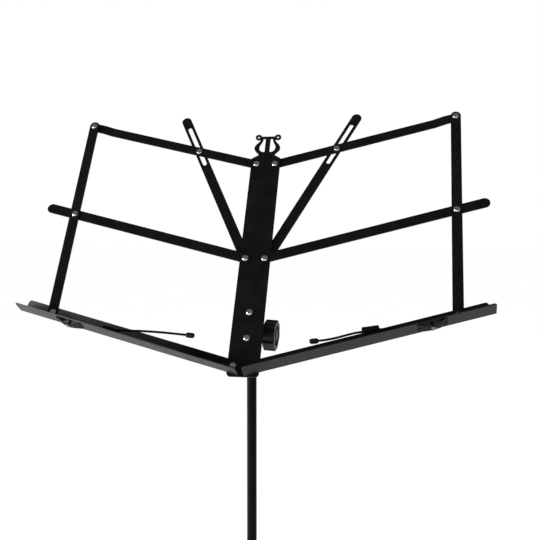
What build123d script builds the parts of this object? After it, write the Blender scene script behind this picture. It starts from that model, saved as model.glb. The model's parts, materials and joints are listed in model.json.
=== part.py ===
from build123d import *
import math
import os

# Folding music stand: a hinged sheet-metal desk on a telescopic shaft with a folding tripod.
# Millimetres. +Z is up, -Y is the musician's side, +X is the musician's right.
# The origin is on the floor, under the axis of the shaft.

# ---------------------------------------------------------------- driving dimensions

# Desk plane. Its own frame: x to the right, y up the desk, z towards the musician.
# The frame's zero is midway between the two ledge pivots, on the spine's front face.
DESK_HEIGHT = 650.0          # floor to the desk frame's zero
DESK_TILT = 31.4             # the desk leans back this far from upright
SETBACK = 44.3               # shaft axis behind the desk frame's zero
SHEET = 1.2                  # thickness of the arms and ledges
SPINE_SHEET = 1.5
GAP = 0.3                    # clear space between neighbouring moving sheets

# Spine and the four-bar wings
SPINE_WIDTH = 32.2
SPINE_FOOT = 10.5            # spine below the ledge pivots
SPINE_SHOULDER = 247.6
SPINE_NECK = 252.4
NECK_HALF = 8.6
PIVOT_X = 10.2               # each pair of pivots is this far either side of the middle
MID_Y = 120.5
TOP_Y = 240.8
ARM = 204.0                  # pivot to strut rivet, the same on ledge, middle arm and top arm
WING_RISE = {"left": 15.35, "right": 16.65}
TOP_ARM_WIDTH = 10.7
TOP_ARM_STEP = 1.6           # the top arm's outer end stands this far forward
MID_ARM_WIDTH = 11.1
MID_ARM_TIP = 239.0
STRUT_WIDTH = 10.9

# Ledge: an angle section with a back flange and a shelf
LEDGE_LENGTH = 239.3
FLANGE_LENGTH = 235.3
FLANGE_TOP = 6.3
LEDGE_BASE = -7.7
SHELF_DEPTH = 18.1
SHELF_CLOSED = {"left": 0.0, "right": 7.0}     # degrees the shelf is bent past square
LEDGE_INNER = {"left": 8.4, "right": 10.6}     # ledge beyond its pivot, towards the middle
BEND_R = 1.0

# Slotted brace
BRACE_WIDTH = 11.0
BRACE_TIP = 208.0
SLOT_START = 134.5
SLOT_END = 192.5
SLOT_WIDTH = 4.4
STUD_AT = 70.0               # slot stud along the top arm
STUD_R = 0.8
STUD_TAIL_R = 3.6            # wide enough to hold the brace on both sides of its slot
SLOT_BIAS = 0.12             # degrees the brace leads its stud, so the slot's play is shared

# Page holder: a spring wire that turns on a rivet through the shelf, with a clip underneath
HOLDER_AT = 176.5            # its rivet along the ledge
HOLDER_Z = 10.0              # and out along the shelf
WIRE_R = 1.15
EYE_R = 3.1
COIL_LENGTH = 18.4
COIL_R = 3.1
# Lift of the wire from the shelf, straight run before the coil, free arm, and its bend after the coil
HOLDER_WIRES = {"left": (0.0, 35.3, 74.9, 14.0), "right": (7.2, 49.1, 46.7, -5.9)}
TIP_R = 2.7
TIP_LENGTH = 9.0
HOLDER_HEAD_R = 2.7
CLIP_REACH = 15.2
CLIP_BOW = 2.8
CLIP_SHEET = 0.8
CLIP_WAIST = 4.5             # half length of its bowed middle
EYE_PLAY = 0.15              # of the wire's eye between shelf and rivet head

# Rivets
RIVET_R = 1.6
HEAD_R = 3.45
HEAD_H = 1.8
TAIL_R = 2.4
TAIL_H = 0.8
RUNNING = 0.05               # radial clearance of a running rivet

# Tilt joint
TILT_Y = 45.0                # tilt axis up the spine
TILT_BACK = 24.4             # tilt axis behind the spine's front face
BRACKET_HALF = 10.1
BRACKET_RIVETS = (TILT_Y - 14.2, TILT_Y + 14.2)
EAR_R = 9.0
STUD_THREAD_R = 3.0
KNOB_R = 15.8
KNOB_START = 14.1
KNOB_THICK = 11.9
KNOB_LEAN = 4.0              # degrees the knob sits out of square with its stud

# Shaft
SCREW_R = 2.5                # clamp screws
CLAMP_DROP = 10.0            # clamp screw below its tube's mouth
UPPER_R, UPPER_WALL = 5.0, 0.8
MIDDLE_R, MIDDLE_WALL = 6.5, 0.8
LOWER_R, LOWER_WALL = 8.0, 0.8
UPPER_BOTTOM = 330.0
MIDDLE_BOTTOM, MIDDLE_TOP = 120.0, 450.0
LOWER_BOTTOM, LOWER_TOP = 20.0, 360.0
HEAD_SHOULDER = 20.0         # upper tube's mouth below the tilt axis

# Tripod
LEG_SPREAD = 62.0            # degrees from the shaft when open
LEG_LENGTH = 310.0
LEG_FOOT_Z = 5.5
LINK = 125.0                 # runner pivot to knee, and hub pivot to knee
PIVOT_RING = 17.0
LEG_ANGLES = (90.0, 210.0, 330.0)
LEG_WIDTH, LEG_WALL = 12.0, 1.2
LINK_WIDTH, LINK_WALL = 8.6, 1.0
PIN_R = 1.5
RUNNER_SCREW_ANGLE = 30.0

RUNNER_Z = LEG_FOOT_Z + LEG_LENGTH * math.cos(math.radians(LEG_SPREAD))
HUB_Z = RUNNER_Z - 2 * LINK * math.cos(math.radians(LEG_SPREAD))
TILT_Z = (DESK_HEIGHT + TILT_Y * math.cos(math.radians(DESK_TILT))
          - TILT_BACK * math.sin(math.radians(DESK_TILT)))

# Layers of sheet metal, each (back, front) in the desk frame's z
SPINE_LAYER = (-SPINE_SHEET, 0.0)
FRONT_LAYER = (GAP, GAP + SHEET)
STRUT_LAYER = (FRONT_LAYER[1] + GAP, FRONT_LAYER[1] + GAP + SHEET)
TOP_ARM_LAYER = (-SPINE_SHEET - GAP - SHEET, -SPINE_SHEET - GAP)
TOP_ARM_END_LAYER = (TOP_ARM_LAYER[0] + TOP_ARM_STEP, TOP_ARM_LAYER[1] + TOP_ARM_STEP)
BRACE_LAYER = (TOP_ARM_LAYER[0] - GAP - SHEET, TOP_ARM_LAYER[0] - GAP)

DESK = Location((0, -SETBACK, DESK_HEIGHT), (90 - DESK_TILT, 0, 0))


# ---------------------------------------------------------------- shared shapes

def plate(outline, layer):
    """Sheet metal: an outline in the xy plane, filling one layer."""
    return Pos(0, 0, layer[0]) * extrude(outline, layer[1] - layer[0])


def rod(radius, start, end):
    """A round bar along z."""
    return Pos(0, 0, (start + end) / 2) * Cylinder(radius, end - start)


def tube(radius, wall, start, end):
    """A round tube along z."""
    return rod(radius, start, end) - rod(radius - wall, start - 1, end + 1)


def strip(start, end, width):
    """A flat bar's outline along x, with both ends rounded."""
    return Pos((start + end) / 2, 0) * SlotCenterToCenter(end - start - width, width)


def domed_head(radius, base, height):
    """A rivet head standing on z = base."""
    head = rod(radius, base, base + height)
    return fillet(head.edges().sort_by(Axis.Z)[-1], height - 0.2)


def rivet(front, back, shank_r=RIVET_R, tail_r=TAIL_R):
    """A rivet along z, with its domed head in front and its flat tail behind."""
    tail = rod(tail_r, back - TAIL_H, back)
    return domed_head(HEAD_R, front, HEAD_H) + rod(shank_r, back, front) + tail


def lobed_knob(radius, lobes, flute_r, start, end, bevel):
    """A fluted hand knob along z, with bevelled rims."""
    flutes = [place * Circle(flute_r) for place in PolarLocations(radius + flute_r * 0.45, lobes)]
    outline = Circle(radius) - flutes
    outline = fillet(outline.vertices(), flute_r * 0.3)
    blank = chamfer(rod(radius, start, end).edges().filter_by(GeomType.CIRCLE), bevel)
    return blank & Pos(0, 0, start) * extrude(outline, end - start)


def save(name, *solids):
    """Write one sub-part, whether it is one solid or a set of equal ones."""
    shape = solids[0] if len(solids) == 1 else Compound(children=list(solids))
    export_step(shape, f"parts/{name}.step")


# ---------------------------------------------------------------- desk: spine

def lyre():
    """Lyre-shaped finial on top of the spine, in the spine's own plane."""
    waist = 274.6
    bar_top = waist + 2.8
    finial = Rectangle(21.7, bar_top - waist, align=(Align.CENTER, Align.MIN))
    finial = Pos(0, waist) * finial
    for side in (-1, 1):
        rim = Spline((side * 8.8, waist + 0.2), (side * 9.2, 270.6), (side * 12.2, 267.0), (side * 14.5, 262.0),
                     (side * 12.6, 257.2), (side * 9.6, 254.0), (side * NECK_HALF, SPINE_NECK - 0.6))
        limb = make_face(rim + Polyline(rim @ 1, (0, SPINE_NECK - 0.6), (0, waist + 0.2), rim @ 0))
        edge = Spline((side * 5.5, waist), (side * 6.6, 269.4), (side * 9.0, 263.6), (side * 8.4, 259.2),
                      (side * 2.7, 256.4))
        opening = make_face(edge + Polyline(edge @ 1, (side * 2.7, waist), edge @ 0))
        finial += limb - opening
        finial += Pos(side * 10.85, 276.5) * Circle(3.6)
    eyelets = [Pos(side * 10.85, 276.5) * Circle(1.4) for side in (-1, 1)]
    return finial - eyelets


def spine():
    half = SPINE_WIDTH / 2
    body = make_face(Polyline(
        (-half, -SPINE_FOOT), (half, -SPINE_FOOT), (half, SPINE_SHOULDER), (NECK_HALF, SPINE_NECK),
        (-NECK_HALF, SPINE_NECK), (-half, SPINE_SHOULDER), close=True))
    corners = body.vertices().sort_by(Axis.Y)
    body = fillet(corners[:2], 4.0)
    outline = body + lyre()
    pivots = [(side * PIVOT_X, y) for side in (-1, 1) for y in (0, MID_Y, TOP_Y)]
    holes = [Pos(x, y) * Circle(RIVET_R) for x, y in pivots + [(0, y) for y in BRACKET_RIVETS]]
    return plate(outline - holes, SPINE_LAYER)


def tilt_bracket():
    """A U of sheet steel behind the spine, its two ears around the tilt head."""
    back = -SPINE_SHEET
    base_half_height = 22.0
    ear_root = 38.0
    base = Pos(0, TILT_Y, back - SPINE_SHEET / 2) * Box(2 * BRACKET_HALF, 2 * base_half_height, SPINE_SHEET)
    ear_outline = make_hull((Pos(TILT_BACK, 0) * Circle(EAR_R)).edges()
                            + (Pos(-back + SPINE_SHEET / 2, 0) * Rectangle(SPINE_SHEET, ear_root)).edges())
    ear = Rot(0, 90, 0) * extrude(ear_outline, SPINE_SHEET)
    bracket = base
    for x in (-BRACKET_HALF, BRACKET_HALF - SPINE_SHEET):
        bracket += Pos(x, TILT_Y, 0) * ear
    bore = Pos(0, TILT_Y, -TILT_BACK) * Rot(0, 90, 0) * Cylinder(STUD_THREAD_R + 0.1, 60)
    holes = [Pos(0, y, back - SPINE_SHEET / 2) * Cylinder(RIVET_R, 3 * SPINE_SHEET) for y in BRACKET_RIVETS]
    return bracket - bore - holes


def tilt_knob():
    """Clamp knob of the tilt joint beyond the right ear, leaning a little on its stud."""
    hub_r, dish_r, boss_r, dish_depth = 6.5, 10.5, 5.5, 1.5
    hub_start = BRACKET_HALF + 3 * GAP
    end = KNOB_START + KNOB_THICK
    knob = lobed_knob(KNOB_R, 8, 3.4, KNOB_START, end, 0.6)
    knob += rod(hub_r, hub_start, KNOB_START + 1)
    knob -= rod(dish_r, end - dish_depth, end + 1) - rod(boss_r, end - 2, end + 2)
    middle = (KNOB_START + end) / 2
    knob = Pos(0, 0, middle) * Rot(KNOB_LEAN, 0, 0) * Pos(0, 0, -middle) * knob
    return Pos(0, TILT_Y, -TILT_BACK) * Rot(0, 90, 0) * (knob - tilt_stud_rod())


def tilt_stud_rod():
    past_ear = BRACKET_HALF + 7.0
    into_knob = KNOB_START + 5
    return rod(STUD_THREAD_R, -past_ear, into_knob)


def tilt_stud():
    """Threaded stud moulded into the knob, through both ears."""
    return Pos(0, TILT_Y, -TILT_BACK) * Rot(0, 90, 0) * tilt_stud_rod()


def tilt_nut():
    """Hexagon nut against the left ear."""
    corner_r, height, thread_play = 5.8, 5.0, 0.08
    nut = extrude(RegularPolygon(corner_r, 6), height) - rod(STUD_THREAD_R + thread_play, -1, height + 1)
    return Pos(-BRACKET_HALF - height, TILT_Y, -TILT_BACK) * Rot(0, 90, 0) * nut


def make_spine_group():
    save("spine", DESK * spine())
    save("tilt_bracket", DESK * tilt_bracket())
    save("tilt_nut", DESK * tilt_nut())
    save("tilt_knob", DESK * tilt_knob())
    save("tilt_stud", DESK * tilt_stud())
    bracket_back = -2 * SPINE_SHEET
    save("bracket_rivets", *[DESK * Pos(0, y) * rivet(0, bracket_back) for y in BRACKET_RIVETS])
    stacks = {
        "ledge_pivot_rivets": (0, FRONT_LAYER[1] + GAP, -SPINE_SHEET),
        "middle_pivot_rivets": (MID_Y, FRONT_LAYER[1] + GAP, BRACE_LAYER[0] - GAP),
        "top_pivot_rivets": (TOP_Y, 0.0, TOP_ARM_LAYER[0] - GAP),
    }
    for name, (y, front, back) in stacks.items():
        save(name, *[DESK * Pos(side * PIVOT_X, y) * rivet(front, back) for side in (-1, 1)])
    spacer_r = 4.6
    spacer = rod(spacer_r, BRACE_LAYER[1] + GAP, -SPINE_SHEET) - rod(RIVET_R, -10, 10)
    save("brace_spacers", *[DESK * Pos(side * PIVOT_X, MID_Y) * spacer for side in (-1, 1)])


# ---------------------------------------------------------------- desk: one wing
# Wing pieces are drawn for the right side, each with x along the piece and its pivot at zero.

def hole(x, radius=RIVET_R + RUNNING):
    return Pos(x, 0) * Circle(radius)


def on_shelf(side):
    """From square to the fold line's own bend: what is fixed to the shelf leans with it."""
    fold = Pos(0, LEDGE_BASE, FRONT_LAYER[0])
    return fold * Rot(-SHELF_CLOSED[side], 0, 0) * Pos(0, -LEDGE_BASE, -FRONT_LAYER[0])


def ledge(side):
    """Angle section: the back flange is in the front layer, the shelf stands out towards the musician."""
    back, front = FRONT_LAYER
    inner = LEDGE_INNER[side]
    bend = math.radians(SHELF_CLOSED[side])
    out_y, out_z = math.sin(bend), math.cos(bend)
    edge_y, edge_z = LEDGE_BASE + SHELF_DEPTH * out_y, back + SHELF_DEPTH * out_z
    root = SHEET * (1 + out_y) / out_z
    section = make_face(Polyline(
        (FLANGE_TOP, back), (LEDGE_BASE, back), (edge_y, edge_z),
        (edge_y + SHEET * out_z, edge_z - SHEET * out_y),
        (LEDGE_BASE + SHEET * out_z + root * out_y, front), (FLANGE_TOP, front), close=True))
    fold = [v for v in section.vertices() if v.X < LEDGE_BASE + 0.1 and v.Y < front]
    section = fillet(fold, BEND_R)
    profile_plane = Plane(origin=(-inner, 0, 0), x_dir=(0, 1, 0), z_dir=(1, 0, 0))
    bar = extrude(profile_plane * section, LEDGE_LENGTH + inner)
    flange_relief = Pos((FLANGE_LENGTH + LEDGE_LENGTH) / 2 + 1, 3.5, back + SHEET / 2) * Box(
        LEDGE_LENGTH - FLANGE_LENGTH + 2, 16.0, SHEET + 0.4)
    bar -= flange_relief
    end_corner = Pos(-inner, 0) * Rectangle(inner, inner, align=Align.MIN) - Circle(inner)
    bar -= extrude(end_corner, front + 0.1)
    top_corner = Pos(FLANGE_LENGTH - 3, FLANGE_TOP - 3) * (Rectangle(6.2, 6.2, align=Align.MIN) - Circle(3.0))
    bar -= extrude(top_corner, front + 0.1)
    corner = 2.0
    for x in (-inner, LEDGE_LENGTH):
        cutter = Pos(x, LEDGE_BASE, back + SHELF_DEPTH) * Rot(0, 45, 0) * Box(corner * 1.4, 12, corner * 1.4)
        bar -= on_shelf(side) * cutter
    for x in (0, ARM):
        bar -= extrude(hole(x), 5)
    return bar - on_shelf(side) * rivet_bore()


def middle_arm():
    outline = strip(-MID_ARM_WIDTH / 2, MID_ARM_TIP, MID_ARM_WIDTH) - hole(0) - hole(ARM, RIVET_R + 2 * RUNNING)
    return plate(outline, FRONT_LAYER)


def top_arm():
    """Behind the spine at its pivot, and stepped forward before the strut."""
    half = TOP_ARM_WIDTH / 2
    step_start, step_end = ARM - 24.0, ARM - 12.0
    back, front = TOP_ARM_LAYER
    lift = TOP_ARM_STEP
    side_view = make_face(Polyline(
        (-half, back), (step_start, back), (step_end, back + lift), (ARM + half, back + lift),
        (ARM + half, front + lift), (step_end - 0.4, front + lift), (step_start - 0.4, front), (-half, front),
        close=True))
    bar = extrude(Plane.XZ * side_view, half, both=True)
    outline = strip(-half, ARM + half, TOP_ARM_WIDTH)
    outline -= [hole(0), hole(ARM, RIVET_R + 2 * RUNNING), hole(STUD_AT, STUD_R)]
    return bar & extrude(outline, 10, both=True)


def strut():
    half = STRUT_WIDTH / 2
    outline = strip(-half, TOP_Y + half, STRUT_WIDTH)
    outline -= [hole(x, RIVET_R) for x in (0, MID_Y, TOP_Y)]
    return plate(outline, STRUT_LAYER)


def brace():
    outline = strip(-BRACE_WIDTH / 2, BRACE_TIP, BRACE_WIDTH) - hole(0) - strip(SLOT_START, SLOT_END, SLOT_WIDTH)
    return plate(outline, BRACE_LAYER)


def rivet_bore():
    """Through the shelf, on the page holder's axis."""
    return Pos(HOLDER_AT, LEDGE_BASE, HOLDER_Z) * Rot(90, 0, 0) * Cylinder(RIVET_R, 8)


def holder_clip():
    """Bow-tie spring under the shelf, its wings against the sheet and its middle bowed away from it."""
    knee = CLIP_REACH - 2.2
    contact = 0.05
    half = [(CLIP_WAIST, CLIP_BOW), (knee, contact), (CLIP_REACH, contact)]
    upper = [(-x, depth) for x, depth in reversed(half)] + half
    lower = [(x, depth + CLIP_SHEET) for x, depth in reversed(upper)]
    side_view = make_face(Polyline(*upper, *lower, close=True))
    strip_solid = extrude(Plane.XZ * side_view, 8, both=True)
    plan = Circle(5.0)
    wing_turn, wing_width = 16, 5.2
    for turn in (wing_turn, -wing_turn):
        plan += Rot(0, 0, turn) * SlotOverall(2 * CLIP_REACH + 0.6, wing_width)
    clip = strip_solid & Pos(0, 0, -2) * extrude(plan, 10)
    clip -= rod(RIVET_R, -5, 10)
    return Pos(HOLDER_AT, LEDGE_BASE, HOLDER_Z) * Rot(90, 0, 0) * clip


def holder_rivet():
    """Rivet through clip, shelf and eye, its domed head under the clip."""
    under = CLIP_BOW + CLIP_SHEET
    above = -SHEET - 2 * WIRE_R - 2 * EYE_PLAY
    nail = domed_head(HOLDER_HEAD_R, under, 1.5) + rod(RIVET_R, above, under)
    flange_r, flange_thick = HOLDER_HEAD_R + 0.3, 1.0
    nail += rod(flange_r, above - flange_thick, above)
    return Pos(HOLDER_AT, LEDGE_BASE, HOLDER_Z) * Rot(90, 0, 0) * nail


def place_holder(side):
    """From the holder's own frame, pointing inwards with its rivet along y, to the ledge."""
    lift = HOLDER_WIRES[side][0]
    height = LEDGE_BASE + SHEET + EYE_PLAY + WIRE_R
    return on_shelf(side) * Pos(HOLDER_AT, height, HOLDER_Z) * Rot(0, 0, -lift) * Rot(0, 180, 0)


def holder_wire(side):
    """Bent wire: eye round the rivet, straight run, close-wound coil, then the free arm."""
    lift, straight, free, bend = HOLDER_WIRES[side]
    along_x = Rot(0, 90, 0)
    coil_axis = COIL_R - WIRE_R
    wire = Rot(0, 0, -lift) * Rot(90, 0, 0) * Torus(EYE_R, WIRE_R)
    wire += along_x * rod(WIRE_R, EYE_R, straight + WIRE_R)
    turns = int(COIL_LENGTH / (2 * WIRE_R))
    for turn in range(turns):
        middle = Pos(straight + (2 * turn + 1) * WIRE_R, coil_axis, 0)
        wire += middle * along_x * Torus(coil_axis, WIRE_R * 1.06)
    wire += Pos(straight + COIL_LENGTH / 2, coil_axis, 0) * along_x * Cylinder(coil_axis, COIL_LENGTH)
    elbow = Pos(straight + COIL_LENGTH, coil_axis, 0)
    wire += elbow * Sphere(WIRE_R)
    return wire + elbow * Rot(0, 0, bend) * along_x * rod(WIRE_R, 0, free)


def holder_tip(side):
    """Soft cap on the wire's end."""
    straight, free, bend = HOLDER_WIRES[side][1:]
    cap = rod(TIP_R, free - TIP_LENGTH / 2, free + TIP_LENGTH / 2)
    cap = fillet(cap.edges(), TIP_R - 0.1) - rod(WIRE_R, free - TIP_LENGTH, free)
    return Pos(straight + COIL_LENGTH, COIL_R - WIRE_R, 0) * Rot(0, 0, bend) * Rot(0, 90, 0) * cap


def make_wing(side):
    rise = WING_RISE[side]
    along = Rot(0, 0, rise)
    lower = Pos(PIVOT_X, 0) * along
    middle = Pos(PIVOT_X, MID_Y) * along
    upper = Pos(PIVOT_X, TOP_Y) * along
    foot_x = PIVOT_X + ARM * math.cos(math.radians(rise))
    foot_y = ARM * math.sin(math.radians(rise))
    upright = Pos(foot_x, foot_y) * Rot(0, 0, 90)
    reach_x = STUD_AT * math.cos(math.radians(rise))
    reach_y = TOP_Y - MID_Y + STUD_AT * math.sin(math.radians(rise))
    brace_angle = math.degrees(math.atan2(reach_y, reach_x)) + SLOT_BIAS
    strut_rivet = rivet(STRUT_LAYER[1], FRONT_LAYER[0] - GAP)
    top_rivet = rivet(STRUT_LAYER[1], TOP_ARM_END_LAYER[0] - GAP)
    washer_r = 3.4
    top_rivet += rod(washer_r, TOP_ARM_END_LAYER[1] + GAP, STRUT_LAYER[0])
    strut_rivets = [upright * Pos(x, 0) * strut_rivet for x in (0, MID_Y)]
    strut_rivets.append(upright * Pos(TOP_Y, 0) * top_rivet)
    stud = rivet(TOP_ARM_LAYER[1], BRACE_LAYER[0] - GAP, STUD_R, STUD_TAIL_R)
    holder = lower * place_holder(side)
    pieces = {
        "ledge": [lower * ledge(side)],
        "middle_arm": [middle * middle_arm()],
        "top_arm": [upper * top_arm()],
        "desk_strut": [upright * strut()],
        "strut_rivets": strut_rivets,
        "brace": [Pos(PIVOT_X, MID_Y) * Rot(0, 0, brace_angle) * brace()],
        "slot_stud": [upper * Pos(STUD_AT, 0) * stud],
        "holder_clip": [lower * on_shelf(side) * holder_clip()],
        "holder_rivet": [lower * on_shelf(side) * holder_rivet()],
        "holder_wire": [holder * holder_wire(side)],
        "holder_tip": [holder * holder_tip(side)],
    }
    for name, solids in pieces.items():
        if side == "left":
            solids = [mirror(solid, about=Plane.YZ) for solid in solids]
        save(f"{name}_{side}", *[DESK * solid for solid in solids])


# ---------------------------------------------------------------- shaft

def tilt_head():
    """Cast lug between the bracket's ears, with a spigot down into the upper tube."""
    half = BRACKET_HALF - SPINE_SHEET - GAP
    lug = Rot(0, 90, 0) * Cylinder(EAR_R - 0.5, 2 * half)
    neck = Pos(0, 0, -HEAD_SHOULDER / 2 - 2) * Box(2 * half, 11.0, HEAD_SHOULDER - 4)
    neck &= rod(half + 0.6, -40, 20)
    collar = rod(6.6, -HEAD_SHOULDER, -HEAD_SHOULDER + 5)
    spigot = rod(UPPER_R - UPPER_WALL, -HEAD_SHOULDER - 36, -HEAD_SHOULDER)
    head = lug + neck + collar + spigot
    head -= Rot(0, 90, 0) * Cylinder(STUD_THREAD_R + 0.1, 40)
    return Pos(0, 0, TILT_Z) * head


def upper_tube():
    crimp_z = DESK_HEIGHT - 20.0
    body = tube(UPPER_R, UPPER_WALL, UPPER_BOTTOM, TILT_Z - HEAD_SHOULDER)
    dimple = Pos(0, -UPPER_R - 0.5, crimp_z) * Sphere(1.1)
    return body - dimple


def clamp_collar(outer_r, inner_r, top):
    """Sleeve over the mouth of an outer tube, with a boss for its thumb screw on the +X side."""
    sleeve = rod(outer_r + 3.2, top - 22, top + 4) - rod(outer_r, top - 23, top)
    sleeve -= rod(inner_r + 0.2, top - 1, top + 5)
    sleeve = fillet(sleeve.edges().filter_by(GeomType.CIRCLE).sort_by(Axis.Z)[-1], 1.2)
    screw_axis = Pos(0, 0, top - CLAMP_DROP) * Rot(0, 90, 0)
    boss = screw_axis * rod(6.0, outer_r + 1, outer_r + 8)
    boss -= rod(outer_r, top - 30, top)
    bore = screw_axis * rod(SCREW_R + 0.1, 0, outer_r + 12)
    return sleeve + boss - bore


def thumb_screw(tip, shoulder):
    """Lobed thumb screw along +z, from its tip to its knob."""
    knob = lobed_knob(9.5, 6, 2.6, shoulder, shoulder + 8.0, 1.0)
    return knob + rod(SCREW_R, tip, shoulder) + rod(5.0, shoulder - 1.6, shoulder)


def make_shaft():
    save("tilt_head", tilt_head())
    save("upper_tube", upper_tube())
    outer_tubes = {
        "lower": (LOWER_R, LOWER_WALL, LOWER_BOTTOM, LOWER_TOP, MIDDLE_R),
        "middle": (MIDDLE_R, MIDDLE_WALL, MIDDLE_BOTTOM, MIDDLE_TOP, UPPER_R),
    }
    for name, (radius, wall, bottom, top, next_r) in outer_tubes.items():
        screw_axis = Pos(0, 0, top - CLAMP_DROP) * Rot(0, 90, 0)
        screw_hole = screw_axis * rod(SCREW_R + 0.2, 0, radius + 5)
        save(f"{name}_tube", tube(radius, wall, bottom, top) - screw_hole)
        save(f"{name}_clamp", clamp_collar(radius, next_r, top))
        save(f"{name}_clamp_screw", screw_axis * thumb_screw(next_r + GAP, radius + 11))
    bushings = {"middle": (MIDDLE_R, LOWER_R - LOWER_WALL, MIDDLE_BOTTOM),
                "upper": (UPPER_R, MIDDLE_R - MIDDLE_WALL, UPPER_BOTTOM)}
    for name, (inner, outer, bottom) in bushings.items():
        save(f"{name}_bushing", tube(outer - 0.1, outer - 0.1 - inner, bottom, bottom + 18))


# ---------------------------------------------------------------- tripod

def lug_ring(radius, height, thickness, bore_r):
    """A collar with three lugs, one for each leg, pivots at height zero."""
    ring = rod(radius, -height / 2, height / 2)
    lug = make_hull((Pos(PIVOT_RING, 0) * Circle(4.4)).edges() + (Pos(radius - 2, 0) * Rectangle(2, 12)).edges())
    lug = extrude(Plane.XZ * lug, thickness / 2, both=True)
    for angle in LEG_ANGLES:
        ring += Rot(0, 0, angle) * lug
    return ring - rod(bore_r, -height, height)


def radial_pins(radius, length):
    """The pin of one lug, across the leg's plane."""
    return Pos(PIVOT_RING, 0, 0) * Rot(90, 0, 0) * Cylinder(radius, length)


def hub():
    body = Pos(0, 0, HUB_Z) * lug_ring(12.0, 22.0, 5.4, LOWER_R)
    for angle in LEG_ANGLES:
        body -= Pos(0, 0, HUB_Z) * Rot(0, 0, angle) * radial_pins(PIN_R, 20)
    return body


def hub_pin(angle):
    pin = radial_pins(PIN_R, LINK_WIDTH + 1.2)
    for side in (-1, 1):
        pin += Pos(PIVOT_RING, side * (LINK_WIDTH / 2 + 0.9), 0) * Rot(90, 0, 0) * Cylinder(2.4, 0.8)
    return Pos(0, 0, HUB_Z) * Rot(0, 0, angle) * pin


def runner():
    body = lug_ring(12.0, 26.0, 7.8, LOWER_R + 0.15)
    boss = Rot(0, 0, RUNNER_SCREW_ANGLE) * Rot(0, 90, 0) * rod(5.5, 11, 16)
    bore = Rot(0, 0, RUNNER_SCREW_ANGLE) * Rot(0, 90, 0) * rod(SCREW_R + 0.1, 0, 20)
    return Pos(0, 0, RUNNER_Z) * (body + boss - bore)


def channel(width, wall, top, bottom, start, end, web_start):
    """A U of sheet along x with rounded ends, open towards -z, its web cut back at the start."""
    outer = Pos((start + end) / 2, 0, (top + bottom) / 2) * Box(end - start, width, top - bottom)
    bore = Pos((start + end) / 2, 0, (top - wall + bottom - 5) / 2) * Box(
        end - start + 2, width - 2 * wall, top - wall - bottom + 5)
    notch = Pos((start - 10 + web_start) / 2, 0, 0) * Box(web_start - start + 10, width - 2 * wall, 40)
    side_view = Pos(0, (top + bottom) / 2) * strip(start, end, top - bottom)
    return (outer - bore - notch) & extrude(Plane.XZ * side_view, width, both=True)


def leg():
    """Along +x from the runner pivot, its web on +z."""
    bar = channel(LEG_WIDTH, LEG_WALL, 5.6, -5.0, -5.6, LEG_LENGTH - 8, 9.0)
    bar -= Rot(90, 0, 0) * Cylinder(PIN_R, 30)
    return bar - Pos(LINK, 0, 0) * Rot(90, 0, 0) * Cylinder(PIN_R, 30)


def leg_rivets():
    """The knee rivet, and the two short rivets by which the leg's cheeks take hold of the runner's lug."""
    cheek = LEG_WIDTH / 2
    knee = Rot(90, 0, 0) * Cylinder(PIN_R, LEG_WIDTH)
    for side in (-1, 1):
        knee += Pos(0, side * (cheek + 0.5), 0) * Rot(90, 0, 0) * Cylinder(2.6, 1.0)
    stubs = []
    for side in (-1, 1):
        shank = Pos(0, side * (cheek - LEG_WALL / 2), 0) * Rot(90, 0, 0) * Cylinder(PIN_R, LEG_WALL)
        stubs.append(shank + Pos(0, side * (cheek + 0.5), 0) * Rot(90, 0, 0) * Cylinder(2.6, 1.0))
    return [Pos(LINK, 0, 0) * knee] + stubs


def leg_link():
    """Along +x from the hub pivot to the knee, its web on the far side from the shaft."""
    bar = channel(LINK_WIDTH, LINK_WALL, 3.5, -3.5, -3.5, LINK + 3.5, 8.0)
    bar = bar - Rot(90, 0, 0) * Cylinder(PIN_R + RUNNING, 30)
    return bar - Pos(LINK, 0, 0) * Rot(90, 0, 0) * Cylinder(PIN_R + RUNNING, 30)


def leg_place(angle):
    """Leg frame to stand: down and outwards from the runner pivot."""
    return Rot(0, 0, angle) * Pos(PIVOT_RING, 0, RUNNER_Z) * Rot(0, 90 - LEG_SPREAD, 0)


def link_place(angle):
    """Link frame to stand: up and outwards from the hub pivot, its web underneath."""
    return Rot(0, 0, angle) * Pos(PIVOT_RING, 0, HUB_Z) * Rot(0, LEG_SPREAD - 90, 0) * Rot(180, 0, 0)


def foot(angle):
    """Rubber boot over the leg's end, flat where it meets the floor."""
    boot = Rot(0, 90, 0) * rod(8.6, LEG_LENGTH - 26, LEG_LENGTH + 6)
    boot = fillet(boot.edges(), 2.2)
    boot -= Pos(LEG_LENGTH - 30, 0, 0.3) * Box(44, LEG_WIDTH, 10.6)
    boot = leg_place(angle) * boot
    return boot - Pos(0, 0, -50) * Box(900, 900, 100)


def make_tripod():
    save("hub", hub())
    save("hub_pins", *[hub_pin(angle) for angle in LEG_ANGLES])
    save("runner", runner())
    screw = Pos(0, 0, RUNNER_Z) * Rot(0, 0, RUNNER_SCREW_ANGLE) * Rot(0, 90, 0)
    save("runner_screw", screw * thumb_screw(LOWER_R + GAP, 19.0))
    plug = rod(LOWER_R - LOWER_WALL, LOWER_BOTTOM, LOWER_BOTTOM + 10)
    plug += rod(LOWER_R + 1, LOWER_BOTTOM - 3, LOWER_BOTTOM)
    save("base_plug", plug)
    for number, angle in enumerate(LEG_ANGLES, 1):
        save(f"leg_{number}", leg_place(angle) * leg())
        save(f"leg_{number}_rivets", *[leg_place(angle) * solid for solid in leg_rivets()])
        save(f"leg_{number}_link", link_place(angle) * leg_link())
        save(f"foot_{number}", foot(angle))


os.makedirs("parts", exist_ok=True)
make_spine_group()
make_wing("left")
make_wing("right")
make_shaft()
make_tripod()
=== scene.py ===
import json
import math

import bmesh
import bpy
from mathutils import Matrix, Vector


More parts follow.
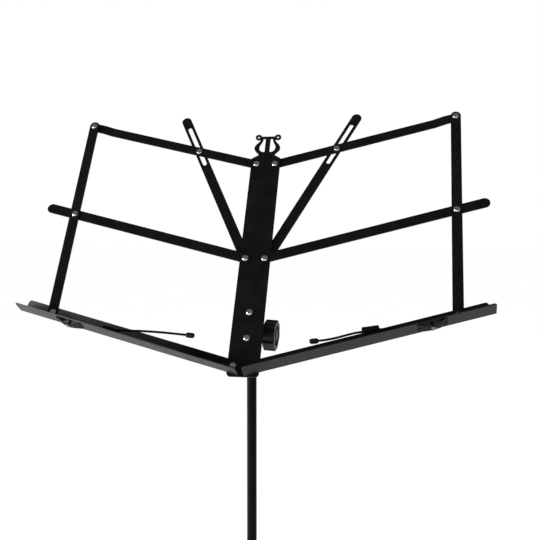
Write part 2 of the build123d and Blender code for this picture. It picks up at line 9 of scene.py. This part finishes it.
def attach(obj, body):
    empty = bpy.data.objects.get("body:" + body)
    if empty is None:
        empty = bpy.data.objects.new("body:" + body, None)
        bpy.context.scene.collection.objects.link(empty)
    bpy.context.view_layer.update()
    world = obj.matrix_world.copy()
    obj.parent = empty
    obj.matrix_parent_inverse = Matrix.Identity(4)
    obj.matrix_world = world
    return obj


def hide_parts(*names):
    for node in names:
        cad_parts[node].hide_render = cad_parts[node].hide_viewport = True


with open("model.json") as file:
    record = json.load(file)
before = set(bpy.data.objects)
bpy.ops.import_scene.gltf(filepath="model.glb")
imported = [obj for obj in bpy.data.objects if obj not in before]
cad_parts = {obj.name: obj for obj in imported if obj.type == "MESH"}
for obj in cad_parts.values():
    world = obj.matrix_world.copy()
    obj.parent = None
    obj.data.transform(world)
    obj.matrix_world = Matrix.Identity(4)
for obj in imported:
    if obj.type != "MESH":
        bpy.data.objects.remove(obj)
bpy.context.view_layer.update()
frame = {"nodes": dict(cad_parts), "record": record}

NODES = frame["nodes"]
MM = 0.001


# ---------------------------------------------------------------- node helpers

class Graph:
    """A material's node tree, with short calls for the nodes that the finishes share."""

    def __init__(self, name, color, roughness, metallic=0.0):
        self.material = bpy.data.materials.new(name)
        self.material.use_nodes = True
        self.nodes = self.material.node_tree.nodes
        self.links = self.material.node_tree.links
        self.shader = self.nodes["Principled BSDF"]
        self.shader.inputs["Base Color"].default_value = (*color, 1)
        self.shader.inputs["Roughness"].default_value = roughness
        self.shader.inputs["Metallic"].default_value = metallic
        self.place = self.add("ShaderNodeTexCoord").outputs["Object"]

    def add(self, kind, **inputs):
        node = self.nodes.new(kind)
        for key, value in inputs.items():
            socket = node.inputs[key.replace("_", " ")]
            if isinstance(value, bpy.types.NodeSocket):
                self.links.new(value, socket)
            else:
                socket.default_value = value
        return node

    def stretched(self, scale):
        """Object coordinates, scaled along each axis."""
        mapping = self.add("ShaderNodeMapping", Vector=self.place, Scale=scale)
        return mapping.outputs["Vector"]

    def noise(self, scale, detail=2.0, rough=0.5, vector=None):
        node = self.add("ShaderNodeTexNoise", Vector=vector or self.place, Scale=scale,
                        Detail=detail, Roughness=rough)
        return node.outputs["Fac"]

    def ramp(self, value, stops):
        """Map a value through colour stops, each (position, grey or colour)."""
        node = self.add("ShaderNodeValToRGB", Fac=value)
        band = node.color_ramp
        while len(band.elements) < len(stops):
            band.elements.new(0.5)
        for element, (position, tone) in zip(band.elements, stops):
            element.position = position
            element.color = (tone, tone, tone, 1) if isinstance(tone, float) else (*tone, 1)
        return node.outputs["Color"]

    def mix(self, factor, first, second):
        node = self.nodes.new("ShaderNodeMix")
        node.data_type = "RGBA"
        for index, value in ((0, factor), (6, first), (7, second)):
            if isinstance(value, bpy.types.NodeSocket):
                self.links.new(value, node.inputs[index])
            else:
                node.inputs[index].default_value = value
        return node.outputs[2]

    def math(self, operation, first, second):
        node = self.nodes.new("ShaderNodeMath")
        node.operation = operation
        for index, value in enumerate((first, second)):
            if isinstance(value, bpy.types.NodeSocket):
                self.links.new(value, node.inputs[index])
            else:
                node.inputs[index].default_value = value
        return node.outputs[0]

    def bump(self, height, strength, distance, normal=None):
        inputs = {"Height": height, "Strength": strength, "Distance": distance}
        if normal is not None:
            inputs["Normal"] = normal
        return self.add("ShaderNodeBump", **inputs).outputs["Normal"]

    def rounded_edges(self, radius):
        return self.add("ShaderNodeBevel", Radius=radius).outputs["Normal"]

    def set(self, socket, value):
        if isinstance(value, bpy.types.NodeSocket):
            self.links.new(value, self.shader.inputs[socket])
        else:
            self.shader.inputs[socket].default_value = value
        return self


# ---------------------------------------------------------------- finishes

PAINTED_REFLECTION_FULL, PAINTED_REFLECTION_NONE = -0.17, -0.05         # where along the left ledge the painted reflection is full, and where it ends
FLANGE_NORMAL = (0.0, -0.853, 0.521)        # out of the leaning desk, towards the musician
DUST = (0.09, 0.09, 0.092, 1)


def painted_reflection_mask(g):
    """Mask of the painted reflection on the left ledge's back flange: a lighter patch that stands in for
    reflected light, on the face towards the musician, fading inwards.
    """
    out = g.add("ShaderNodeSeparateXYZ", Vector=g.place).outputs["X"]
    outer = g.add("ShaderNodeMapRange", Value=out, From_Min=PAINTED_REFLECTION_FULL, From_Max=PAINTED_REFLECTION_NONE,
                  To_Min=1.0, To_Max=0.0)
    facing = g.nodes.new("ShaderNodeVectorMath")
    facing.operation = "DOT_PRODUCT"
    g.links.new(g.nodes["Texture Coordinate"].outputs["Normal"], facing.inputs[0])
    facing.inputs[1].default_value = FLANGE_NORMAL
    front = g.add("ShaderNodeMapRange", Value=facing.outputs["Value"], From_Min=0.90, From_Max=0.98)
    # noise that breaks the painted reflection into streaks
    painted_reflection_streaks = g.noise(1.0, 3.0, 0.6, g.stretched((30.0, 500.0, 500.0)))
    share = g.math("MULTIPLY", outer.outputs["Result"], front.outputs["Result"])
    return g.math("MULTIPLY", share, g.math("ADD", g.math("MULTIPLY", painted_reflection_streaks, 0.6), 0.6))


def powder_coat(name, dark, light, peel, edge, sheen, grime_and_painted_reflection=None):
    """Black stoved powder: orange peel, faint cloudy tone, dust specks and softened edges, and, when given, a
    lighter patch of painted reflection.
    """
    g = Graph(name, dark, 0.42)
    g.set("Specular IOR Level", sheen)
    cloud = g.noise(55.0, 3.0, 0.6)
    fine = g.noise(2400.0, 1.0, 0.5)
    tone = g.mix(g.ramp(cloud, [(0.35, 0.0), (0.7, 1.0)]), (*dark, 1), (*light, 1))
    specks = g.ramp(g.noise(5200.0, 0.0, 0.5), [(0.74, 0.0), (0.80, 1.0)])
    dust = g.math("MULTIPLY", specks, 0.2)
    coat = g.mix(dust, tone, DUST)
    # Painted reflection: an optional lighter grey patch that stands in for light reflected on the flange
    if grime_and_painted_reflection:
        coat = g.mix(painted_reflection_mask(g), coat, (*grime_and_painted_reflection, 1))
    g.set("Base Color", coat)
    rough = g.math("ADD", g.math("MULTIPLY", cloud, 0.16), g.math("MULTIPLY", fine, 0.08))
    g.set("Roughness", g.math("ADD", rough, 0.30))
    peel_height = g.noise(900.0, 2.0, 0.55)
    g.set("Normal", g.bump(peel_height, peel, 0.0002, g.bump(fine, 0.12, 0.00008, g.rounded_edges(edge))))
    return g.material


def nickel(name, tint):
    """Nickel plate with fine tumbling scratches and cloudy grime."""
    g = Graph(name, tint, 0.2, 1.0)
    scratch = g.noise(1.0, 3.0, 0.7, g.stretched((900.0, 5200.0, 2600.0)))
    grime_and_painted_reflection = g.noise(700.0, 2.0, 0.6)
    dull = tuple(0.55 * c for c in tint)
    g.set("Base Color", g.mix(g.ramp(grime_and_painted_reflection, [(0.35, 0.0), (0.75, 0.8)]), (*tint, 1), (*dull, 1)))
    g.set("Roughness", g.math("ADD", g.math("MULTIPLY", scratch, 0.14), 0.10))
    g.set("Normal", g.bump(scratch, 0.05, 0.00005))
    return g.material


def moulded_plastic(name, dark, light, grain, rough, sheen):
    """Moulded nylon: spark-eroded grain, slight flow marks and softened edges."""
    g = Graph(name, dark, rough)
    g.set("Specular IOR Level", sheen)
    flow = g.noise(1.0, 3.0, 0.6, g.stretched((60.0, 60.0, 190.0)))
    grain_height = g.add("ShaderNodeTexVoronoi", Vector=g.place, Scale=grain).outputs["Distance"]
    g.set("Base Color", g.mix(g.ramp(flow, [(0.4, 0.0), (0.72, 1.0)]), (*dark, 1), (*light, 1)))
    g.set("Roughness", g.math("ADD", g.math("MULTIPLY", g.noise(420.0), 0.2), rough - 0.1))
    g.set("Normal", g.bump(grain_height, 0.22, 0.00025, g.rounded_edges(0.0006)))
    return g.material


def rubber(name):
    """Black rubber, dusty in its pores."""
    g = Graph(name, (0.012, 0.012, 0.012), 0.75)
    dust = g.ramp(g.noise(260.0, 4.0, 0.7), [(0.45, 0.0), (0.8, 1.0)])
    g.set("Base Color", g.mix(dust, (0.012, 0.012, 0.012, 1), (0.035, 0.034, 0.032, 1)))
    g.set("Roughness", g.math("ADD", g.math("MULTIPLY", dust, 0.2), 0.66))
    g.set("Normal", g.bump(g.noise(1500.0, 3.0, 0.7), 0.3, 0.0003, g.rounded_edges(0.0008)))
    return g.material


def spring_steel(name):
    """Phosphated spring steel, nearly without gloss, with rolling lines."""
    g = Graph(name, (0.01, 0.01, 0.011), 0.5)
    g.set("Specular IOR Level", 0.03)
    lines = g.noise(1.0, 2.0, 0.6, g.stretched((300.0, 4200.0, 4200.0)))
    g.set("Base Color", g.mix(lines, (0.008, 0.008, 0.009, 1), (0.03, 0.029, 0.028, 1)))
    g.set("Roughness", g.math("ADD", g.math("MULTIPLY", lines, 0.25), 0.38))
    g.set("Normal", g.bump(lines, 0.12, 0.0001, g.rounded_edges(0.0002)))
    return g.material


# The desk's coat: dark and light tones, orange peel, edge radius and sheen
BLACK_POWDER = ((0.0045, 0.0045, 0.0048), (0.010, 0.010, 0.0105), 0.30, 0.0004, 0.2)
FINISHES = {
    "powder_coat": powder_coat("powder_coat_black", *BLACK_POWDER),
    "tube_enamel": powder_coat("tube_enamel_black", (0.003, 0.003, 0.0032), (0.006, 0.006, 0.0063),
                               0.16, 0.0003, 0.05),
    "cast_zinc": powder_coat("cast_black", (0.008, 0.008, 0.009), (0.014, 0.014, 0.015), 0.5, 0.0008, 0.3),
    "wire": powder_coat("wire_black", (0.004, 0.004, 0.0043), (0.008, 0.008, 0.0083), 0.10, 0.0001, 0.08),
    "nickel": nickel("nickel_plate", (0.78, 0.765, 0.74)),
    "black_plastic": moulded_plastic("nylon_black", (0.006, 0.006, 0.0065), (0.014, 0.014, 0.0145),
                                     1700.0, 0.5, 0.3),
    "vinyl": moulded_plastic("vinyl_black", (0.005, 0.005, 0.005), (0.010, 0.010, 0.010), 2600.0, 0.32, 0.25),
    "nylon": moulded_plastic("nylon_natural", (0.62, 0.60, 0.55), (0.72, 0.71, 0.67), 1500.0, 0.45, 0.5),
    "rubber": rubber("rubber_black"),
    "spring_steel": spring_steel("spring_steel_black"),
}
SLOTS = {part["node"]: part["material_slot"] for part in frame["record"]["subparts"]}
VARIANTS = {
    "holder_rivet_left": nickel("nickel_blackened", (0.16, 0.155, 0.15)),
    # The left ledge's coat carries a painted reflection: a lighter grey patch at the flange's outer end
    "ledge_left": powder_coat("powder_coat_painted_reflection", *BLACK_POWDER, (0.24, 0.24, 0.243)),
}
VARIANTS["holder_rivet_right"] = VARIANTS["holder_rivet_left"]
for node, obj in NODES.items():
    obj.data.materials.clear()
    obj.data.materials.append(VARIANTS.get(node, FINISHES[SLOTS[node]]))


# ---------------------------------------------------------------- mesh helpers

def finish_mesh(name, mesh_source, material, body, smooth=38.0):
    """Turn a bmesh into a piece that rides on a body, smooth except at its real edges."""
    bmesh.ops.recalc_face_normals(mesh_source, faces=mesh_source.faces)
    mesh = bpy.data.meshes.new(name)
    mesh_source.to_mesh(mesh)
    mesh_source.free()
    mesh.shade_smooth()
    mesh.set_sharp_from_angle(angle=math.radians(smooth))
    mesh.materials.append(material)
    obj = bpy.data.objects.new(name, mesh)
    bpy.context.scene.collection.objects.link(obj)
    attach(obj, body)
    return obj


def add_ring_loft(target, rings):
    """Skin a list of rings of points, each as long as the others, and cap both ends."""
    made = [[target.verts.new(point) for point in ring] for ring in rings]
    count = len(made[0])
    for first, second in zip(made, made[1:]):
        for i in range(count):
            j = (i + 1) % count
            target.faces.new((first[i], first[j], second[j], second[i]))
    target.faces.new(made[0])
    target.faces.new(made[-1])


def axis_place(origin, axis):
    """Matrix whose z is the axis."""
    z = Vector(axis).normalized()
    x = z.orthogonal()
    x = (x - z * x.dot(z)).normalized()
    basis = Matrix((x, z.cross(x), z)).transposed()
    return Matrix.Translation(Vector(origin)) @ basis.to_4x4()


def add_lathe(target, profile, place, segments):
    """Turn a profile of (radius, height), in millimetres, about the place's z."""
    turns = [2 * math.pi * i / segments for i in range(segments)]
    add_ring_loft(target, [[place @ Vector((r * MM * math.cos(t), r * MM * math.sin(t), z * MM)) for t in turns]
                           for r, z in profile])


def arc(centre_z, radius, start, end, steps):
    """Profile points on an arc about the axis; angles in degrees from outwards towards up."""
    angles = [math.radians(start + (end - start) * i / steps) for i in range(steps + 1)]
    return [(radius * math.cos(a), centre_z + radius * math.sin(a)) for a in angles]


def add_tube(target, path, radius, segments=14):
    """A round wire along a path of points, with its ring carried along without twist."""
    points = [Vector(p) for p in path]
    tangents = []
    for i in range(len(points)):
        ahead, behind = points[min(i + 1, len(points) - 1)], points[max(i - 1, 0)]
        tangents.append((ahead - behind).normalized())
    across = tangents[0].orthogonal().normalized()
    rings = []
    for point, tangent in zip(points, tangents):
        across = (across - tangent * across.dot(tangent)).normalized()
        other = tangent.cross(across)
        turns = [2 * math.pi * i / segments for i in range(segments)]
        rings.append([point + radius * (across * math.cos(t) + other * math.sin(t)) for t in turns])
    add_ring_loft(target, rings)


# ---------------------------------------------------------------- page holders

def turned(degrees, axis):
    return Matrix.Rotation(math.radians(degrees), 4, axis)


def moved(x, y, z):
    return Matrix.Translation((x * MM, y * MM, z * MM))


# The CAD's own places, in millimetres and degrees: desk frame, ledge pivots, wing angles, bend of each shelf
SETBACK, DESK_HEIGHT, DESK_TILT = 44.3, 650.0, 31.4
DESK = moved(0, -SETBACK, DESK_HEIGHT) @ turned(90 - DESK_TILT, "X")
PIVOT_X = 10.2
WING_RISE = {"left": 15.35, "right": 16.65}
SHELF_CLOSED = {"left": 0.0, "right": 7.0}
LEDGE_BASE, LEDGE_BACK, SHEET = -7.7, 0.3, 1.2
HOLDER_AT, HOLDER_OUT = 176.5, 10.0
WIRE, EYE, COIL, COIL_LENGTH = 1.15, 3.1, 3.1, 18.4
EYE_PLAY = 0.15
EYE_OPENS, EYE_SWEEP, EYE_STEPS = 30, 285, 36
COIL_STEPS = 24                              # per turn
CAP_R, CAP_HALF, CAP_GROOVE = 2.7, 4.5, 0.12
HOLDERS = {
    # Lift from the shelf, straight run, free arm, its bend, coil turns, and the arm's points from coil to tip
    "left": (0.0, 35.3, 74.9, 14.0, 7.5, [(62.0, 6.2), (76.0, 9.9), (94.0, 14.0), (110.0, 17.1)]),
    "right": (7.2, 49.1, 46.7, -5.9, 8.0, [(74.0, -0.1), (84.0, -1.4), (94.0, -2.8), (104.0, -3.3)]),
}


def holder_place(side):
    mirrored = Matrix.Scale(-1, 4, (1, 0, 0)) if side == "left" else Matrix.Identity(4)
    ledge = DESK @ mirrored @ moved(PIVOT_X, 0, 0) @ turned(WING_RISE[side], "Z")
    fold = (moved(0, LEDGE_BASE, LEDGE_BACK) @ turned(-SHELF_CLOSED[side], "X")
            @ moved(0, -LEDGE_BASE, -LEDGE_BACK))
    height = LEDGE_BASE + SHEET + EYE_PLAY + WIRE
    lift = HOLDERS[side][0]
    return ledge @ fold @ moved(HOLDER_AT, height, HOLDER_OUT) @ turned(-lift, "Z") @ turned(180, "Y")


def smooth_run(points, steps):
    """Catmull-Rom points through the given ones."""
    points = [Vector(p) for p in points]
    padded = [2 * points[0] - points[1]] + points + [2 * points[-1] - points[-2]]
    run = []
    for i in range(len(points) - 1):
        a, b, c, d = padded[i:i + 4]
        for k in range(steps):
            t = k / steps
            run.append(0.5 * (2 * b + (c - a) * t + (2 * a - 5 * b + 4 * c - d) * t * t
                              + (3 * b - a - 3 * c + d) * t * t * t))
    run.append(points[-1])
    return run


def page_holder(side):
    """A spring wire from one length: eye, straight run, close-wound coil and free arm, with its soft cap."""
    lift, straight, free, bend, turns, arm = HOLDERS[side]
    place = holder_place(side)
    flat = turned(-lift, "Z")
    eye = []
    for i in range(EYE_STEPS + 1):
        angle = math.radians(EYE_OPENS + EYE_SWEEP * i / EYE_STEPS)
        eye.append(flat @ Vector((EYE * math.cos(angle), 0, EYE * math.sin(angle))))
    entry = smooth_run([eye[-1], (4.6, 0, -1.7), (7.4, 0, -0.35), (11.0, 0, 0)], 6)
    axis, winding = COIL - WIRE, []
    steps = int(turns * COIL_STEPS)
    for i in range(steps + 1):
        angle = math.radians(-90 + 360 * turns * i / steps)
        along = straight + WIRE + (COIL_LENGTH - 2 * WIRE) * i / steps
        winding.append(Vector((along, axis + axis * math.sin(angle), axis * math.cos(angle))))
    tip = Vector((straight + COIL_LENGTH + free * math.cos(math.radians(bend)),
                  axis + free * math.sin(math.radians(bend)), 0))
    lead = [Vector((straight - 9, 0, 0)), Vector((straight - 3, 0, 0.05))]
    free_arm = smooth_run([winding[-1]] + [Vector((x, y, 0)) for x, y in arm] + [tip], 8)
    path = eye + entry[1:] + lead + winding + free_arm[1:]
    wire = bmesh.new()
    add_tube(wire, [place @ (p * MM) for p in path], WIRE * MM)
    piece = finish_mesh(f"page_wire_{side}", wire, FINISHES["wire"], f"holder_{side}", 60.0)
    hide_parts(f"holder_wire_{side}")

    along = (tip - free_arm[-3]).normalized()
    cap = bmesh.new()
    profile = [(r, -CAP_HALF + z) for r, z in ((1.3, 0.0), (1.75, 0.15), (2.2, 0.7), (2.5, 1.5), (CAP_R, 2.6))]
    profile += [(CAP_R, 0.2), (CAP_R - CAP_GROOVE, 0.35), (CAP_R, 0.5), (CAP_R, 1.9)]
    profile += [(2.5, 3.0), (2.1, 3.8), (1.5, 4.3), (0.7, CAP_HALF)]
    add_lathe(cap, profile, place @ axis_place(tip * MM, along), 32)
    piece = finish_mesh(f"page_cap_{side}", cap, FINISHES["vinyl"], f"holder_{side}", 60.0)
    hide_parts(f"holder_tip_{side}")


for side in HOLDERS:
    page_holder(side)


# ---------------------------------------------------------------- domed rivets

MID_Y, TOP_Y, ARM = 120.5, 240.8, 204.0
BRACKET_RIVETS = (30.8, 59.2)
# Height up the spine, and where the head and the tail sit in front of or behind the spine's face
PIVOTS = {"ledge": (0.0, 1.8, -1.5), "middle": (MID_Y, 1.8, -4.8), "top": (TOP_Y, 0.0, -3.3)}
BRACKET_SEAT, STRUT_SEAT, STRUT_TOP_SEAT = (0.0, -3.0), (3.0, 0.0), (3.0, -1.7)
STRUT_WASHER = (3.4, 0.1, 1.8)              # radius, start and end
HEAD, LIP, HEAD_HIGH, SHANK, TAIL, TAIL_HIGH = 3.45, 0.25, 1.8, 1.6, 2.4, 0.8
TAIL_EDGE, HEAD_EDGE = 0.2, 0.1             # chamfers
DOME_END = 88.0                             # degrees, just short of the middle


def add_rivet(target, x, y, front, back, washer=None):
    """Domed head, shank and flat tail, placed in the desk frame."""
    dome = HEAD_HIGH - LIP
    ball = (HEAD * HEAD + dome * dome) / (2 * dome)
    start = math.degrees(math.acos(HEAD / ball))
    profile = [(TAIL - TAIL_EDGE, back - TAIL_HIGH), (TAIL, back - TAIL_HIGH + TAIL_EDGE), (TAIL, back),
               (SHANK, back)]
    if washer:
        radius, low, high = washer
        profile += [(SHANK, low), (radius, low), (radius, high), (SHANK, high)]
    profile += [(SHANK, front), (HEAD - HEAD_EDGE, front), (HEAD, front + HEAD_EDGE)]
    profile += arc(front + HEAD_HIGH - ball, ball, start, DOME_END, 10)
    add_lathe(target, profile, DESK @ moved(x, y, 0), 40)


def rivet_set(node, body, rivets):
    made = bmesh.new()
    for rivet in rivets:
        add_rivet(made, *rivet)
    piece = finish_mesh(f"domed_{node}", made, FINISHES["nickel"], body)
    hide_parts(node)


rivet_set("bracket_rivets", "desk", [(0, y, *BRACKET_SEAT) for y in BRACKET_RIVETS])
for pivot, seat in PIVOTS.items():
    rivet_set(f"{pivot}_pivot_rivets", "desk", [(x, *seat) for x in (-PIVOT_X, PIVOT_X)])
for side, sign in (("left", -1), ("right", 1)):
    rise = math.radians(WING_RISE[side])
    x, foot = sign * (PIVOT_X + ARM * math.cos(rise)), ARM * math.sin(rise)
    rivets = [(x, foot + height, *STRUT_SEAT) for height in (0.0, MID_Y)]
    rivets.append((x, foot + TOP_Y, *STRUT_TOP_SEAT, STRUT_WASHER))
    rivet_set(f"strut_rivets_{side}", f"desk_strut_{side}", rivets)


# ---------------------------------------------------------------- stage, light and camera

FLOOR_REACH = 30.0
# The photograph's viewpoint, in degrees and millimetres
AZIMUTH, ELEVATION = 9.74, 2.88
CAMERA_PLACE = (171.0, -885.9, 787.4)
SENSOR, LENS = 36.0, 59.18533


def stage():
    """A pale floor that runs out of sight, and nothing else."""
    mesh = bpy.data.meshes.new("floor")
    corners = [(x * FLOOR_REACH, y * FLOOR_REACH, 0) for x, y in ((-1, -1), (1, -1), (1, 1), (-1, 1))]
    mesh.from_pydata(corners, [], [(0, 1, 2, 3)])
    floor = bpy.data.objects.new("floor", mesh)
    bpy.context.scene.collection.objects.link(floor)
    g = Graph("floor_pale", (0.86, 0.86, 0.86), 0.9)
    g.set("Base Color", g.mix(g.noise(3.0), (0.85, 0.85, 0.85, 1), (0.88, 0.88, 0.88, 1)))
    g.set("Specular IOR Level", 0.05)
    mesh.materials.append(g.material)


def softbox(name, place, target, size, power):
    light = bpy.data.lights.new(name, "AREA")
    light.shape = "RECTANGLE"
    light.size, light.size_y = size
    light.energy = power
    obj = bpy.data.objects.new(name, light)
    obj.location = place
    obj.rotation_euler = (Vector(target) - Vector(place)).to_track_quat("-Z", "Y").to_euler()
    bpy.context.scene.collection.objects.link(obj)


def sun(name, towards, strength, spread):
    """Even light on the floor from a broad source, not mirrored in the metal; towards points at the source."""
    light = bpy.data.lights.new(name, "SUN")
    light.energy = strength
    light.angle = math.radians(spread)
    obj = bpy.data.objects.new(name, light)
    obj.rotation_euler = Vector(towards).to_track_quat("Z", "Y").to_euler()
    obj.visible_glossy = False
    bpy.context.scene.collection.objects.link(obj)


def surroundings(seen, given):
    """A plain white studio: the colour the camera sees, and the dimmer light that it gives."""
    world = bpy.data.worlds.new("studio")
    bpy.context.scene.world = world
    world.use_nodes = True
    nodes, links = world.node_tree.nodes, world.node_tree.links
    background = nodes["Background"]
    path = nodes.new("ShaderNodeLightPath")
    mix = nodes.new("ShaderNodeMix")
    links.new(path.outputs["Is Camera Ray"], mix.inputs[0])
    mix.inputs[2].default_value, mix.inputs[3].default_value = given, seen
    links.new(mix.outputs[0], background.inputs["Strength"])
    background.inputs["Color"].default_value = (1, 1, 1, 1)


def camera():
    """Just right of the musician's place, a little above the desk's foot, looking almost level."""
    azimuth, elevation = math.radians(AZIMUTH), math.radians(ELEVATION)
    place = Vector(CAMERA_PLACE) * MM
    forward = Vector((-math.sin(azimuth) * math.cos(elevation), math.cos(azimuth) * math.cos(elevation),
                      -math.sin(elevation)))
    data = bpy.data.cameras.new("camera")
    data.sensor_width = SENSOR
    data.lens = LENS
    data.clip_start = 0.01
    data.clip_end = 100.0
    obj = bpy.data.objects.new("camera", data)
    obj.matrix_world = Matrix.Translation(place) @ forward.to_track_quat("-Z", "Y").to_matrix().to_4x4()
    bpy.context.scene.collection.objects.link(obj)
    bpy.context.scene.camera = obj


bpy.context.scene.view_settings.view_transform = "Standard"
stage()
surroundings(1.0, 0.15)
sun("overhead", (0.15, 1.0, 1.25), 4.15, 25.0)
softbox("key", (-2.0, -1.1, 0.72), (0, 0, 0.75), (0.8, 0.8), 30)
softbox("left_low", (-1.7, 0.6, 0.10), (0, 0, 0.68), (1.4, 0.5), 12)
camera()
